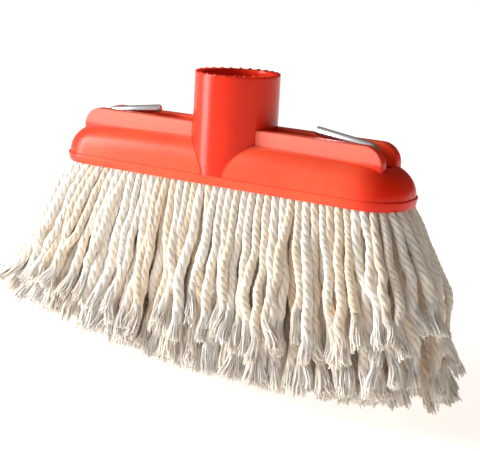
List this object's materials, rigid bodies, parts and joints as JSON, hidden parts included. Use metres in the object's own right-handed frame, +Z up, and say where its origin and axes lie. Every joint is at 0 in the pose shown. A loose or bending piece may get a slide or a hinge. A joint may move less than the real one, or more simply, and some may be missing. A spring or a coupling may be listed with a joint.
{
  "type": "string mop",
  "caption": "String mop head with a round handle socket, a ridged boat-shaped base, a bent clamp wire and a skirt of folded cotton strings.",
  "frame": {"origin": "on the floor under the middle of the head, at the bottom centre of the bounding box; the lowest strings rest on Z = 0", "axes": "+X along the head (longest extent), +Y from front to back, +Z up along the handle socket"},
  "size_m": [0.2052, 0.0652, 0.1145],
  "materials": {
    "orange_plastic": "satin moulded orange-red plastic",
    "galvanised_wire": "drawn galvanised wire, sheared ends",
    "cotton_string": "undyed twisted cotton, frayed ends"
  },
  "bodies": {
    "head": {"head_moulding": "orange_plastic", "clamp_wire": "galvanised_wire", "core_strings_01": "cotton_string", "core_strings_02": "cotton_string", "core_strings_03": "cotton_string", "core_strings_04": "cotton_string", "core_strings_05": "cotton_string", "core_strings_06": "cotton_string", "core_strings_07": "cotton_string", "core_strings_08": "cotton_string", "core_strings_09": "cotton_string", "core_strings_10": "cotton_string", "core_strings_11": "cotton_string"},
    "front_strings": {"front_strings_01": "cotton_string", "front_strings_02": "cotton_string", "front_strings_03": "cotton_string", "front_strings_04": "cotton_string", "front_strings_05": "cotton_string", "front_strings_06": "cotton_string", "front_strings_07": "cotton_string", "front_strings_08": "cotton_string", "front_strings_09": "cotton_string", "front_strings_10": "cotton_string", "front_strings_11": "cotton_string", "front_strings_12": "cotton_string"},
    "back_strings": {"back_strings_01": "cotton_string", "back_strings_02": "cotton_string", "back_strings_03": "cotton_string", "back_strings_04": "cotton_string", "back_strings_05": "cotton_string", "back_strings_06": "cotton_string", "back_strings_07": "cotton_string", "back_strings_08": "cotton_string", "back_strings_09": "cotton_string", "back_strings_10": "cotton_string", "back_strings_11": "cotton_string", "back_strings_12": "cotton_string"},
    "left_end_strings": {"left_end_strings_1": "cotton_string", "left_end_strings_2": "cotton_string", "left_end_strings_3": "cotton_string"},
    "right_end_strings": {"right_end_strings_1": "cotton_string", "right_end_strings_2": "cotton_string", "right_end_strings_3": "cotton_string"}
  },
  "joints": [
    {"name": "front_strings_lift", "type": "hinge", "parent": "head", "child": "front_strings", "pos_m": [0, -0.01202, 0.07218], "axis": [-1, 0, 0], "range_deg": [0, 50]},
    {"name": "back_strings_lift", "type": "hinge", "parent": "head", "child": "back_strings", "pos_m": [0, 0.01202, 0.07218], "axis": [1, 0, 0], "range_deg": [0, 50]},
    {"name": "left_end_strings_lift", "type": "hinge", "parent": "head", "child": "left_end_strings", "pos_m": [-0.06522, 0, 0.07218], "axis": [0, 1, 0], "range_deg": [0, 50]},
    {"name": "right_end_strings_lift", "type": "hinge", "parent": "head", "child": "right_end_strings", "pos_m": [0.06522, 0, 0.07218], "axis": [0, -1, 0], "range_deg": [0, 50]}
  ]
}
